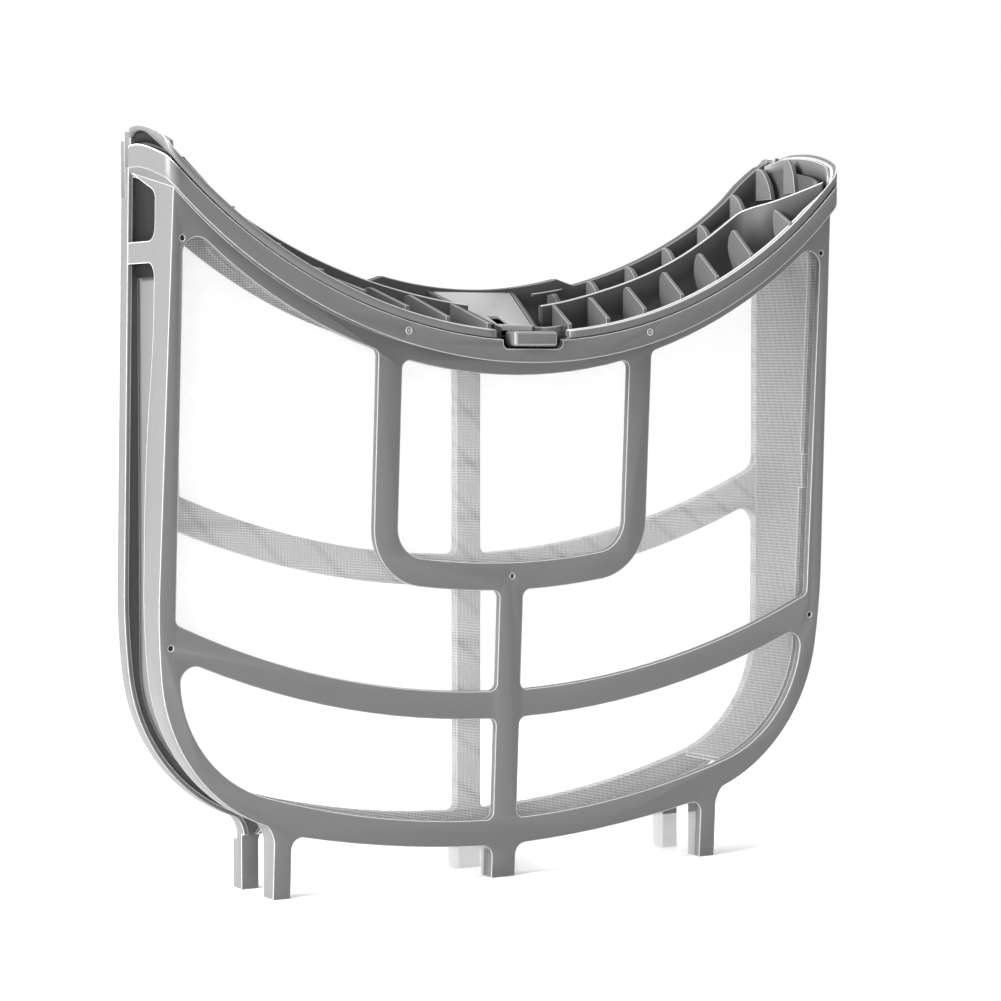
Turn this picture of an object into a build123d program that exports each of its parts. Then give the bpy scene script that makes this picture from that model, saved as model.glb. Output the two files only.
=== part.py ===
from build123d import *
import os
from math import cos, radians, sin, sqrt, tan

# Lint filter of a tumble dryer: two screened frames that open like a book.
# Millimetres. +X runs across the filter, +Y to its back, +Z up. It stands on its feet at Z = 0.
# Depths are measured from the front face of the rear frame, which lies REAR_Y behind the origin.

REAR_Y = 25.0

# Frames and screens
LEAN = 3.29              # the front panel leans out at its top, degrees
FRONT_Y = -30.1          # its face at the feet
PLATE = 3.2              # thickness of the front panel
REAR_PLATE = 4.8
SCREEN = 0.4             # woven screen with its bond
BOND_GAP = 0.05
HALF_W = 168.6           # half width at mid height
SIDE_TAPER = 2.8         # the sides lean in this much by the top
HALF_W_TOP = HALF_W - SIDE_TAPER
TAPER_Z = 130.0
TOP_Z = 300.0
SIDE_BAR = 7.6
SIDE_IN = HALF_W - SIDE_BAR            # inner edge of the front side bars
REAR_SIDE_BAR = 10.1
TRAY_IN = HALF_W - REAR_SIDE_BAR       # inner edge of the rear side bars, and of the tray wall on them
BAR = 11.8               # width of the centre bars
REAR_BAR = 12.4
POST_IN = HALF_W - 8.8   # inner edge of the rear frame's top posts
POST_TOP = 324.0
LEG_IN = 105.2
LEG_OUT = 113.4
LEG_C = 6.0              # half width of the centre legs
FRONT_LEG_DEEP = 9.2
FOOT_TRIM = 1.0          # feet are drawn this much too long, then cut level
REAR_LEG_DEEP = 8.3

# The door arc: every upper edge is this circle, raised to its own level
ARC_R = 232.5
RIM_LOW = 228.0          # lower edge of the front rim at X = 0
SEAM = 237.4             # where the grille meets the front rim
SEAM_GAP = 0.6
GRILLE_TOP = 243.6       # top land of the grille at its front edge
OPEN_TOP = 222.0         # upper edge of the front bays
REAR_OPEN_TOP = 232.0
REAR_BAR_TOP = 243.3
PLAN_Y = -50.0           # the levels above are stated at this depth
RIM_SLOPE = 0.19         # rim and seam rise towards the back
TOP_SLOPE = 0.254        # the grille's top rises faster
GRILLE_DEEP = 12.0       # depth of the grille's cells
TONGUE = 4.5             # the grille reaches this far down inside the rim
CREST = 3.6              # the back wall stands higher behind the lock
CREST_X = 47.0

# Mid bars: arcs on one centre
MID_C = 456.9
MID_R_TOP = 373.5
MID_R_LOW = 385.7
REAR_MID_C = 504.0
REAR_MID_R_TOP = 362.5
REAR_MID_R_LOW = 376.5

# U-shaped window bar under the lock
U_OUT = 69.3
U_IN = 57.8
U_LOW = 127.8
U_TOP = 140.0
U_R_OUT = 26.0
U_R_IN = 14.0
U_BOW = 330.0            # its lower side is a flat arc

# Side walls
WALL = 2.0
LIP = 2.5                # the rear frame's outer edge stands forward by this
LIP_GAP = 0.3
LIP_TOP = 313.5
TRAY_FRONT = -24.0       # front edge of the tray wall at the feet
TRAY_TOP = 288.0
LUG_Z = 177.0
LUG_H = 16.0
LUG_SET_IN = 4.6
LUG_OUT = HALF_W - LUG_SET_IN

# Grille and rim in plan
END_BULGE = 2.0          # the rim's ends stand this far outside the sides
END_X = HALF_W + END_BULGE
END_BACK_X = HALF_W - 4.6              # where the rim's rounded ends meet its back
RIM_WALL = 2.2
GRILLE_WALL = 3.8
BACK_WALL = 2.4
BACK_Y = 3.0             # back face of the grille's back wall
TONGUE_IN = 2.5
DIVIDER = 2.0
FIN = 2.0
FRONT_FINS = (24.0, 44.6, 65.2, 85.8, 106.4, 127.0, HALF_W - 23.6)
REAR_FINS = (41.0, 62.0, 83.0, 104.5, 125.5, HALF_W - 23.6)

# Latch
TAB_W = 21.4
TAB_LOW = 234.2
TAB_TOP = 240.6
TAB_Y = -58.3
TAB_DEEP = 8.5
STEM_W = 12.0
STEM_T = 3.0
STEM_BACK = -30.0
NOTCH_W = 30.0
NOTCH_Z = 233.0
LOCK_Z = 241.0           # lock plate's upper face at the depth below
LOCK_Y = -46.0
LOCK_SLOPE = 0.406
LOCK_T = 1.8
LOCK_BACK = 21.0         # half width at the back and at the front
LOCK_FRONT = 8.2
LOCK_END = -42.0
LOCK_FIT = 0.25
HOUSE_LOW = 233.0        # underside of the latch housing

# Fold of the two halves
FOLD_Y = -13.1
FOLD_Z = 0.8
STRIP = 0.4
STRIP_TOP = 20.0
FOLD_GAP = 0.85          # from the fold line to each strip

# Rounded corners: the frames' outer edge and the edge of the bays are arcs on these centres
CORNER_Z = 104.6
CORNER_R = 77.5
CORNER_X = HALF_W - CORNER_R - 1.4
BAY_Z = 99.9
BAY_R = 58.1
BAY_X = TRAY_IN - BAY_R
BAY_BEND_Z = 118.5
FRONT_TURN = 8.0         # the front bays' corner arcs start this far above their centres
BAY_LOW = 26.2           # lower edge of the bays at X = 0

HOLES = ((HALF_W - 7.1, 278.0), (HALF_W - 5.6, 110.0))
HOLE_D = 2.4
RIM_HOLE_D = 1.8

FAR = 500.0
lean = radians(LEAN)
FRONT = Plane(origin=(0, REAR_Y + FRONT_Y, 0), x_dir=(1, 0, 0), z_dir=(0, -cos(lean), -sin(lean)))
REAR = Plane(origin=(0, REAR_Y, 0), x_dir=(1, 0, 0), z_dir=(0, -1, 0))
ARC_START = -64.0
ARC = Plane(origin=(0, REAR_Y + ARC_START, 0), x_dir=(1, 0, 0), z_dir=(0, -1, 0))


def plan(z):
    """Horizontal plane at a height."""
    return Plane(origin=(0, REAR_Y, z))


def side(x):
    """Upright plane across the filter at x: its own axes are depth and height."""
    return Plane(origin=(x, REAR_Y, 0), x_dir=(0, 1, 0), z_dir=(1, 0, 0))


def sag(x, radius=ARC_R):
    """Rise of a circle of this radius above its lowest point."""
    return radius - sqrt(radius * radius - x * x)


def front_y(z):
    """Depth of the front panel's face at a height."""
    return FRONT_Y - z * tan(lean)


def level(z0, slope, x, y):
    """Height of an arched, rising surface at a point in plan."""
    return z0 + slope * (y - PLAN_Y) + sag(x)


def arc_points(z0, x_from, x_to, radius=ARC_R):
    """Three points of an arc whose lowest point is at z0."""
    x_mid = (x_from + x_to) / 2
    return [(x, z0 + sag(x, radius)) for x in (x_from, x_mid, x_to)]


def under_arc(z0, slope):
    """Everything under a surface that follows the door arc and rises towards the back."""
    reach = 176.0
    z_start = z0 + slope * (ARC_START - PLAN_Y)
    with BuildPart() as block:
        with BuildSketch(ARC):
            with BuildLine():
                ThreePointArc(*arc_points(z_start, -reach, reach))
                Polyline((reach, z_start + sag(reach)), (reach, -10), (-reach, -10),
                         (-reach, z_start + sag(reach)))
            make_face()
        extrude(amount=90 * sqrt(1 + slope * slope), dir=(0, 1, slope))
    return block.part


def side_x(z):
    """Half width of the frames at a height above their rounded corners."""
    return HALF_W + (HALF_W_TOP - HALF_W) * (z - TAPER_Z) / (TOP_Z - TAPER_Z)


def polar(x, z, radius, angle):
    """Point on a circle."""
    return (x + radius * cos(radians(angle)), z + radius * sin(radians(angle)))


def frame_half(top_z, inset=0.0):
    """Right half of a frame's outer edge, moved in by inset, from its top down to the centre leg."""
    x_top = HALF_W_TOP
    for _ in range(6):
        x_top = side_x(top_z + sag(x_top))
    leg_out = LEG_OUT - inset
    leg_in = LEG_IN + inset
    leg_c = LEG_C - inset
    foot = inset - FOOT_TRIM
    bend = [polar(CORNER_X, CORNER_Z, CORNER_R - inset, angle) for angle in (-6.0, -39.0, -69.5)]
    ThreePointArc(*arc_points(top_z, 0.0, x_top - inset))
    Line((x_top - inset, top_z + sag(x_top - inset)), (HALF_W - inset, TAPER_Z))
    ThreePointArc((HALF_W - inset, TAPER_Z), (HALF_W - 0.45 - inset, 113.5), bend[0])
    ThreePointArc(*bend)
    ThreePointArc(bend[2], (LEG_OUT + 0.8 - inset, 27.8 + 0.3 * inset), (leg_out, 22.0))
    Polyline((leg_out, 22.0), (leg_out, foot), (leg_in, foot), (leg_in, 21.0))
    ThreePointArc((leg_in, 21.0), (leg_in - 1.4, 24.4 + 0.6 * inset), (leg_in - 5.2, 25.9 + inset))
    ThreePointArc((leg_in - 5.2, 25.9 + inset), (LEG_IN / 2 - 1.6, 17.9 + inset), (LEG_C + 5.0, 14.8 + inset))
    ThreePointArc((LEG_C + 5.0, 14.8 + inset), (LEG_C + 1.4 - 0.6 * inset, 13.2 + 0.5 * inset), (leg_c, 9.6))
    Polyline((leg_c, 9.6), (leg_c, foot), (0.0, foot))


def field_half(top_z, x_side, out, turn=0.0):
    """Right half of the edge of all the bays together, moved outwards by out."""
    x_edge = x_side + out
    bend = [polar(BAY_X, BAY_Z, BAY_R + out, angle) for angle in (turn, (turn - 72.4) / 2, -72.4)]
    x_low = bend[2][0]
    ThreePointArc(*arc_points(top_z + out, 0.0, x_edge))
    Polyline((x_edge, top_z + out + sag(x_edge)), (x_edge, BAY_BEND_Z), bend[0])
    ThreePointArc(*bend)
    ThreePointArc(bend[2], (x_low / 2, BAY_LOW - out + (bend[2][1] - BAY_LOW + out) / 4),
                  (0.0, BAY_LOW - out))


def near(sketch, points):
    """Corners of a sketch that lie nearest to the given points."""
    return [min(sketch.vertices(), key=lambda v: (v.X - x) ** 2 + (v.Y - z) ** 2) for x, z in points]


def plan_half(inset, back_y, x_back):
    """Right half of the rim's outline in plan: bowed front, rounded end, straight back."""
    corner = [polar(HALF_W - 4.0, -45.4, 5.0 - inset, angle) for angle in (-97.0, -46.0, 5.0)]
    ThreePointArc((0.0, -55.4 + inset), (HALF_W / 2 - 2.3, -54.1 + inset), corner[0])
    ThreePointArc(*corner)
    shoulder = (HALF_W + 0.3 - inset, -13.5)
    ThreePointArc(corner[2], (END_X - inset, -30.5), shoulder)
    ThreePointArc(shoulder, (HALF_W - 1.4 - inset, -6.2), (x_back, back_y))
    Line((x_back, back_y), (0.0, back_y))


# Regions between the arched levels
seam_block = under_arc(SEAM, RIM_SLOPE)
rim_low_block = under_arc(RIM_LOW, RIM_SLOPE)
rim_floor_block = under_arc(RIM_LOW + RIM_WALL, RIM_SLOPE)
gap_block = under_arc(SEAM + SEAM_GAP, RIM_SLOPE)
tongue_block = under_arc(SEAM - TONGUE, RIM_SLOPE)
top_block = under_arc(GRILLE_TOP, TOP_SLOPE)
cell_block = under_arc(GRILLE_TOP - GRILLE_DEEP, TOP_SLOPE)
arch_block = under_arc(GRILLE_TOP - 2.4, TOP_SLOPE)
bar_top_block = under_arc(REAR_BAR_TOP + 0.25, 0.0)

# Rim of the front frame: a band that follows the door arc and wraps round both ends
with BuildPart() as rim:
    with BuildSketch(plan(200)):
        with BuildLine():
            plan_half(0.0, 0.0, END_BACK_X)
            mirror(about=Plane.YZ)
        make_face()
        with BuildLine():
            plan_half(RIM_WALL, 0.0, END_BACK_X - RIM_WALL)
            mirror(about=Plane.YZ)
        make_face(mode=Mode.SUBTRACT)
        with Locations((0, FAR / 2 - LIP - LIP_GAP)):
            Rectangle(FAR, FAR, mode=Mode.SUBTRACT)
    extrude(amount=140)
    add(seam_block, mode=Mode.INTERSECT)
    add(rim_low_block, mode=Mode.SUBTRACT)

# Its floor reaches in to the leaning panel and to the side walls
with BuildPart() as rim_floor:
    with BuildSketch(plan(200)):
        with BuildLine():
            plan_half(0.4, 0.0, END_BACK_X - 0.4)
            mirror(about=Plane.YZ)
        make_face()
        with Locations((0, FAR / 2 - LIP - LIP_GAP)):
            Rectangle(FAR, FAR, mode=Mode.SUBTRACT)
        with Locations((0, FAR / 2 - 42)):
            Rectangle(2 * (HALF_W_TOP - WALL), FAR, mode=Mode.SUBTRACT)
    extrude(amount=140)
    add(rim_floor_block, mode=Mode.INTERSECT)
    add(rim_low_block, mode=Mode.SUBTRACT)

# Side walls and legs of the front frame
with BuildSketch() as wall_core:
    with BuildLine():
        frame_half(SEAM + 60.0, WALL)
        mirror(about=Plane.YZ)
    make_face()
with BuildSketch() as wall_ring:
    with BuildLine():
        frame_half(SEAM + 40.0)
        mirror(about=Plane.YZ)
    make_face()
    add(wall_core.sketch, mode=Mode.SUBTRACT)
    between = (LEG_IN - WALL) / 2 + LEG_C / 2 + WALL / 2
    with Locations((between, 150), (-between, 150)):
        Rectangle(LEG_IN - LEG_C - 2 * WALL, FAR, mode=Mode.SUBTRACT)
    with Locations((0, FAR / 2 + 13)):
        Rectangle(2 * LEG_IN - 2 * WALL, FAR, mode=Mode.SUBTRACT)

# The long slot behind the wall, and the window above it: both are open to the back
with BuildPart() as wall_cuts:
    with BuildSketch(side(0)):
        with BuildLine():
            Polyline((10, 268), (10, -5), (-20.9, -5), (-20.9, 40))
            Spline((-20.9, 40), (-22.0, 115), (-24.3, 200), (-29.3, 250), tangents=[(0, 1), (0, 1)])
            Line((-29.3, 250), (-29.3, 262))
            ThreePointArc((-29.3, 262), (-27.5, 266.2), (-23.3, 268))
            Line((-23.3, 268), (10, 268))
        make_face()
        with BuildLine():
            Line((10, 277), (-23.5, 277))
            ThreePointArc((-23.5, 277), (-27.7, 278.8), (-29.5, 283))
            Line((-29.5, 283), (-29.5, 293.5))
            ThreePointArc((-29.5, 293.5), (-28.6, 296.4), (-26.0, 298.3))
            Polyline((-26.0, 298.3), (-2.4, 307.0), (10, 307.0), (10, 277))
        make_face()
    extrude(amount=FAR / 2, both=True)

with BuildPart() as side_wall:
    with BuildSketch(FRONT):
        add(wall_ring.sketch)
    extrude(amount=-60)
    with BuildSketch(plan(-5)):
        with Locations((0, FAR / 2 - LIP - LIP_GAP)):
            Rectangle(FAR, FAR)
    extrude(amount=FAR, mode=Mode.SUBTRACT)
    add(rim_floor_block, mode=Mode.INTERSECT)
    add(wall_cuts.part, mode=Mode.SUBTRACT)

# Bars of the front frame: the U under the lock, the centre bar and the curved mid bar
with BuildSketch() as u_inner:
    z_u = U_TOP + sag(U_IN, U_BOW)
    with BuildLine():
        ThreePointArc(*arc_points(U_TOP, -U_IN, U_IN, U_BOW))
        Polyline((U_IN, z_u), (U_IN, 280), (-U_IN, 280), (-U_IN, z_u))
    make_face()
    fillet(near(u_inner, [(U_IN, z_u), (-U_IN, z_u)]), radius=U_R_IN)
with BuildSketch() as front_bars:
    z_u = U_LOW + sag(U_OUT, U_BOW)
    with BuildLine():
        ThreePointArc(*arc_points(U_LOW, -U_OUT, U_OUT, U_BOW))
        Polyline((U_OUT, z_u), (U_OUT, 280), (-U_OUT, 280), (-U_OUT, z_u))
    make_face()
    fillet(near(front_bars, [(U_OUT, z_u), (-U_OUT, z_u)]), radius=U_R_OUT)
    add(u_inner.sketch, mode=Mode.SUBTRACT)
    with Locations((0, U_LOW / 2 + 1)):
        Rectangle(BAR, U_LOW + 2)
with BuildSketch() as front_mid:
    with Locations((0, MID_C)):
        Circle(MID_R_LOW)
        Circle(MID_R_TOP, mode=Mode.SUBTRACT)


def on_arc(centre, radius, x):
    """Height of the lower side of a circle at x."""
    return centre - sqrt(radius * radius - x * x)


with BuildSketch() as front_bays:
    with BuildLine():
        field_half(OPEN_TOP, SIDE_IN, 0.0, FRONT_TURN)
        mirror(about=Plane.YZ)
    make_face()
    add(front_bars.sketch, mode=Mode.SUBTRACT)
    add(front_mid.sketch, mode=Mode.SUBTRACT)
    half = BAR / 2
    wide = [(SIDE_IN, OPEN_TOP + sag(SIDE_IN)), (SIDE_IN, on_arc(MID_C, MID_R_LOW, SIDE_IN))]
    tight = [(SIDE_IN, on_arc(MID_C, MID_R_TOP, SIDE_IN)), (U_OUT, OPEN_TOP + sag(U_OUT)),
             (U_IN, OPEN_TOP + sag(U_IN)), (half, U_LOW), (half, on_arc(MID_C, MID_R_TOP, half)),
             (half, on_arc(MID_C, MID_R_LOW, half)), (half, 26.2)]
    fillet(near(front_bays, wide + [(-x, z) for x, z in wide]), radius=6.5)
    fillet(near(front_bays, tight + [(-x, z) for x, z in tight]), radius=3.5)

with BuildPart() as front_frame:
    with BuildSketch(FRONT):
        with BuildLine():
            frame_half(RIM_LOW + 1.2)
            mirror(about=Plane.YZ)
        make_face()
        add(front_bays.sketch, mode=Mode.SUBTRACT)
    extrude(amount=-PLATE)
    add(rim.part)
    add(rim_floor.part)
    add(side_wall.part)
    with BuildSketch(FRONT):
        with Locations(*[(hand * x, z) for x, z in HOLES for hand in (1, -1)], (0, 134)):
            Circle(HOLE_D / 2)
    extrude(amount=-2 * PLATE, mode=Mode.SUBTRACT)
    with BuildSketch(ARC):
        with Locations((61, 240.6), (-61, 240.6)):
            Circle(RIM_HOLE_D / 2)
        with Locations((0, NOTCH_Z + 20)):
            RectangleRounded(NOTCH_W, 40, 2.4)
    extrude(amount=-15, mode=Mode.SUBTRACT)
    # The feet stand level.
    Box(FAR, FAR, 20, align=(Align.CENTER, Align.CENTER, Align.MAX), mode=Mode.SUBTRACT)
front_frame.part.label = "front_frame"

# Rear frame: plate, edge lip, legs and the tray wall that reaches forward inside the front half
with BuildSketch() as rear_bays:
    with BuildLine():
        field_half(REAR_OPEN_TOP, TRAY_IN, 0.0)
        mirror(about=Plane.YZ)
    make_face()
    with Locations((0, 150)):
        Rectangle(REAR_BAR, FAR, mode=Mode.SUBTRACT)
    with BuildSketch(mode=Mode.SUBTRACT):
        with Locations((0, REAR_MID_C)):
            Circle(REAR_MID_R_LOW)
            Circle(REAR_MID_R_TOP, mode=Mode.SUBTRACT)
    half = REAR_BAR / 2
    wide = [(TRAY_IN, on_arc(REAR_MID_C, REAR_MID_R_TOP, TRAY_IN)),
            (TRAY_IN, on_arc(REAR_MID_C, REAR_MID_R_LOW, TRAY_IN)), (TRAY_IN, REAR_OPEN_TOP + sag(TRAY_IN))]
    tight = [(half, REAR_OPEN_TOP), (half, on_arc(REAR_MID_C, REAR_MID_R_TOP, half)),
             (half, on_arc(REAR_MID_C, REAR_MID_R_LOW, half)), (half, 26.2)]
    fillet(near(rear_bays, wide + [(-x, z) for x, z in wide]), radius=8.0)
    fillet(near(rear_bays, tight + [(-x, z) for x, z in tight]), radius=3.0)

with BuildSketch() as tray_ring:
    with BuildLine():
        field_half(SEAM + 90.0, TRAY_IN, WALL)
        mirror(about=Plane.YZ)
    make_face()
    with BuildLine():
        field_half(SEAM + 94.0, TRAY_IN, 0.0)
        mirror(about=Plane.YZ)
    make_face(mode=Mode.SUBTRACT)
    with Locations((0, 100)):
        Rectangle(2 * BAY_X + 36, FAR, mode=Mode.SUBTRACT)
    with Locations((0, TRAY_TOP + FAR / 2)):
        Rectangle(FAR, FAR, mode=Mode.SUBTRACT)

with BuildPart() as tray:
    with BuildSketch(REAR):
        add(tray_ring.sketch)
    extrude(amount=60)
    with BuildSketch(side(0)):
        with BuildLine():
            Polyline((TRAY_FRONT, 0), (TRAY_FRONT - TRAY_TOP * tan(lean), TRAY_TOP), (-80, TRAY_TOP),
                     (-80, 0), (TRAY_FRONT, 0))
        make_face()
    extrude(amount=FAR / 2, both=True, mode=Mode.SUBTRACT)
    # Lugs on its front edge keep the screens apart
    lug_y = front_y(LUG_Z) + PLATE + 2 * BOND_GAP + SCREEN + 0.9
    lug_back = TRAY_FRONT - LUG_Z * tan(lean) + 1.6
    for hand in (1, -1):
        with Locations((hand * (TRAY_IN + LUG_OUT) / 2, REAR_Y + (lug_y + lug_back) / 2, LUG_Z)):
            Box(LUG_OUT - TRAY_IN, lug_back - lug_y, LUG_H)

with BuildSketch() as lip_ring:
    add(wall_ring.sketch)
    with Locations((0, -FAR / 2 + 24)):
        Rectangle(FAR, FAR, mode=Mode.SUBTRACT)
    with Locations((0, LIP_TOP + FAR / 2)):
        Rectangle(FAR, FAR, mode=Mode.SUBTRACT)

with BuildPart() as rear_frame:
    with BuildSketch(REAR):
        with BuildLine():
            frame_half(REAR_BAR_TOP)
            mirror(about=Plane.YZ)
        make_face()
        add(rear_bays.sketch, mode=Mode.SUBTRACT)
        with BuildLine():
            Polyline((POST_IN, 290), (POST_IN, POST_TOP - 5.4), (side_x(POST_TOP), POST_TOP),
                     (side_x(290), 290), (POST_IN, 290))
            mirror(about=Plane.YZ)
        make_face()
    extrude(amount=-REAR_PLATE)
    with BuildSketch(REAR):
        leg = (LEG_IN + LEG_OUT) / 2
        with Locations((leg, 11), (-leg, 11)):
            Rectangle(LEG_OUT - LEG_IN, 22)
        with Locations((0, 7)):
            Rectangle(2 * LEG_C, 14)
    extrude(amount=-REAR_LEG_DEEP)
    with BuildSketch(REAR):
        add(lip_ring.sketch)
    extrude(amount=LIP)
    add(tray.part)
    # The feet stand level.
    Box(FAR, FAR, 20, align=(Align.CENTER, Align.CENTER, Align.MAX), mode=Mode.SUBTRACT)
rear_frame.part.label = "rear_frame"

# Grille: outer walls with a tongue inside the rim, dividers, fins and the latch housing
DIVIDER_PLAN = ((16.6, -18.6), (70.7, -15.6), (HALF_W - 52.1, -13.0), (HALF_W - 31.6, -15.4),
                (HALF_W - 22.6, -23.4), (HALF_W - 11.6, -36.8), (HALF_W - 4.1, -46.0))


def lock_x(y):
    """Half width of the lock housing's inside at a depth."""
    return LOCK_FRONT + (LOCK_BACK - LOCK_FRONT) * (y - LOCK_END) / -LOCK_END


def divider_y(x):
    """Depth of the divider's middle at x."""
    for (x0, y0), (x1, y1) in zip(DIVIDER_PLAN, DIVIDER_PLAN[1:]):
        if x0 <= x <= x1:
            return y0 + (y1 - y0) * (x - x0) / (x1 - x0)
    return DIVIDER_PLAN[0][1]


def bow(x):
    """Depth of the rim's front face at x."""
    return -50.4 - 5.0 * (1 - (x / END_BACK_X) ** 2)


def top_z(x, y):
    """Height of the grille's top at a point in plan."""
    return level(GRILLE_TOP, TOP_SLOPE, x, y)


with BuildSketch() as ring_plan:
    with BuildLine():
        plan_half(0.0, -BOND_GAP, END_BACK_X)
        mirror(about=Plane.YZ)
    make_face()
    with BuildLine():
        plan_half(GRILLE_WALL, -BACK_WALL, END_BACK_X - GRILLE_WALL)
        mirror(about=Plane.YZ)
    make_face(mode=Mode.SUBTRACT)
with BuildSketch() as tongue_plan:
    with BuildLine():
        plan_half(TONGUE_IN, -BOND_GAP, END_BACK_X - TONGUE_IN)
        mirror(about=Plane.YZ)
    make_face()
    add(ring_plan.sketch, mode=Mode.INTERSECT)
    with Locations((0, -40)):
        Rectangle(NOTCH_W, 40, mode=Mode.SUBTRACT)
    with Locations((0, FAR / 2 - LIP - LIP_GAP)):
        Rectangle(FAR, FAR, mode=Mode.SUBTRACT)

with BuildPart() as outer_wall:
    with BuildSketch(plan(200)):
        add(ring_plan.sketch)
    extrude(amount=140)
    add(top_block, mode=Mode.INTERSECT)
    add(gap_block, mode=Mode.SUBTRACT)
    with Locations((0, REAR_Y + ARC_START, NOTCH_Z)):
        Box(NOTCH_W, 2 * (LOCK_Y + 0.5 - ARC_START), 40, align=(Align.CENTER, Align.CENTER, Align.MIN),
            mode=Mode.SUBTRACT)

with BuildPart() as tongue:
    with BuildSketch(plan(200)):
        add(tongue_plan.sketch)
    extrude(amount=140)
    add(under_arc(SEAM + SEAM_GAP + 0.4, RIM_SLOPE), mode=Mode.INTERSECT)
    add(tongue_block, mode=Mode.SUBTRACT)

with BuildPart() as back_wall:
    with BuildSketch(plan(200)):
        with Locations((0, -BOND_GAP)):
            Rectangle(2 * 160.2, BACK_WALL - BOND_GAP, align=(Align.CENTER, Align.MAX))
    extrude(amount=140)
    add(top_block, mode=Mode.INTERSECT)
    add(cell_block, mode=Mode.SUBTRACT)

# Cap of the back wall, seated on the rear frame, and its crest behind the lock
with BuildPart() as cap:
    with BuildSketch(plan(200)):
        with Locations((0, BACK_Y)):
            Rectangle(2 * 159.5, BACK_Y + BACK_WALL, align=(Align.CENTER, Align.MAX))
    extrude(amount=140)
    add(top_block, mode=Mode.INTERSECT)
    add(bar_top_block, mode=Mode.SUBTRACT)
with BuildPart() as crest:
    with BuildSketch(Plane(origin=(0, REAR_Y + BACK_Y, 0), x_dir=(1, 0, 0), z_dir=(0, -1, 0))):
        with BuildLine():
            z_mid = top_z(0, 0) + CREST
            z_end = z_mid + sag(CREST_X) + 0.6
            Spline((-CREST_X + 2, z_end), (0, z_mid), (CREST_X - 2, z_end), tangents=[(1, -0.24), (1, 0.24)])
            Polyline((CREST_X - 2, z_end), (CREST_X + 0.5, z_end - 0.1), (CREST_X + 8, z_end - 4.6),
                     (CREST_X + 8, z_mid - 9), (-CREST_X - 8, z_mid - 9), (-CREST_X - 8, z_end - 4.6),
                     (-CREST_X - 0.5, z_end - 0.1), (-CREST_X + 2, z_end))
        make_face()
    extrude(amount=BACK_WALL)
    add(bar_top_block, mode=Mode.SUBTRACT)

with BuildPart() as dividers:
    with BuildSketch(plan(200)):
        with BuildLine() as divider_line:
            Spline(*DIVIDER_PLAN)
        trace(divider_line.line, line_width=DIVIDER)
        mirror(about=Plane.YZ)
    extrude(amount=140)
    add(top_block, mode=Mode.INTERSECT)
    add(cell_block, mode=Mode.SUBTRACT)

# Latch housing: two splayed walls under the lock plate, with a floor between them
with BuildPart() as housing:
    with BuildSketch(plan(200)):
        with BuildLine():
            Polyline((lock_x(-1), -1), (lock_x(LOCK_END), LOCK_END), (13.4, -49.6), (17.0, -51.0),
                     (19.0, -49.6), (15.6, -47.4), (lock_x(LOCK_END) + 2, LOCK_END + 0.5),
                     (lock_x(-1) + 2, -1), (lock_x(-1), -1))
        make_face()
        mirror(about=Plane.YZ)
    extrude(amount=140)
    with BuildSketch(plan(NOTCH_Z + 0.6)):
        Polygon((lock_x(-1) + 1, -1), (lock_x(LOCK_END) + 1, LOCK_END), (-lock_x(LOCK_END) - 1, LOCK_END),
                (-lock_x(-1) - 1, -1), align=None)
    extrude(amount=1.4)
    with BuildSketch(side(0)):
        with BuildLine():
            Polyline((-60, LOCK_Z - 3.0), (LOCK_Y, LOCK_Z), (0, LOCK_Z - LOCK_Y * LOCK_SLOPE),
                     (0, HOUSE_LOW + 3), (-20, HOUSE_LOW), (-60, HOUSE_LOW), (-60, LOCK_Z - 3.0))
        make_face()
    extrude(amount=60, both=True, mode=Mode.INTERSECT)

# Finger windows through both ends, under an arch
with BuildPart() as finger_cut:
    with Locations((0, REAR_Y - 17.5, 305)):
        Box(2 * HALF_W + 22.8, 25, 60)
    with Locations((0, REAR_Y - 17.5, 305)):
        Box(2 * HALF_W - 27.2, 25, 60, mode=Mode.SUBTRACT)
    add(arch_block, mode=Mode.INTERSECT)
    add(tongue_block, mode=Mode.SUBTRACT)

with BuildPart() as grille_ring:
    add(outer_wall.part)
    add(tongue.part)
    add(finger_cut.part, mode=Mode.SUBTRACT)
    add(back_wall.part)
    add(cap.part)
    add(crest.part)
    add(dividers.part)
    add(housing.part)
    for x in FRONT_FINS:
        root = bow(x) + GRILLE_WALL - 0.8
        tip = min(root + 22.0, divider_y(x) - 2.2)
        z_root = top_z(x, root)
        z_tip = top_z(x, tip)
        for hand in (1, -1):
            with BuildSketch(side(hand * x - FIN / 2)):
                with BuildLine():
                    ThreePointArc((root, z_root - 2.2), ((root + tip) / 2, (z_root + z_tip) / 2 - 0.4),
                                  (tip - 1.6, z_tip - 2.2))
                    ThreePointArc((tip - 1.6, z_tip - 2.2), (tip, z_tip - 4.4), (tip - 1.2, z_tip - 7.4))
                    ThreePointArc((tip - 1.2, z_tip - 7.4), ((root + tip) / 2 - 1, z_root - 7.6),
                                  (root, z_root - 9.5))
                    Line((root, z_root - 9.5), (root, z_root - 2.2))
                make_face()
            extrude(amount=FIN)
    for x in REAR_FINS:
        root = divider_y(x) + 0.6
        tip = -BACK_WALL + 0.4
        z_root = top_z(x, root)
        z_tip = top_z(x, tip)
        for hand in (1, -1):
            with BuildSketch(side(hand * x - FIN / 2)):
                with BuildLine():
                    ThreePointArc((root, z_root - 2.0), ((root + tip) / 2, (z_root + z_tip) / 2 - 0.7),
                                  (tip, z_tip - 1.4))
                    Line((tip, z_tip - 1.4), (tip, z_tip - 4.5))
                    ThreePointArc((tip, z_tip - 4.5), (root + 0.62 * (tip - root), z_tip - 10.0),
                                  (root, z_root - 10.5))
                    Line((root, z_root - 10.5), (root, z_root - 2.0))
                make_face()
            extrude(amount=FIN)
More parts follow.
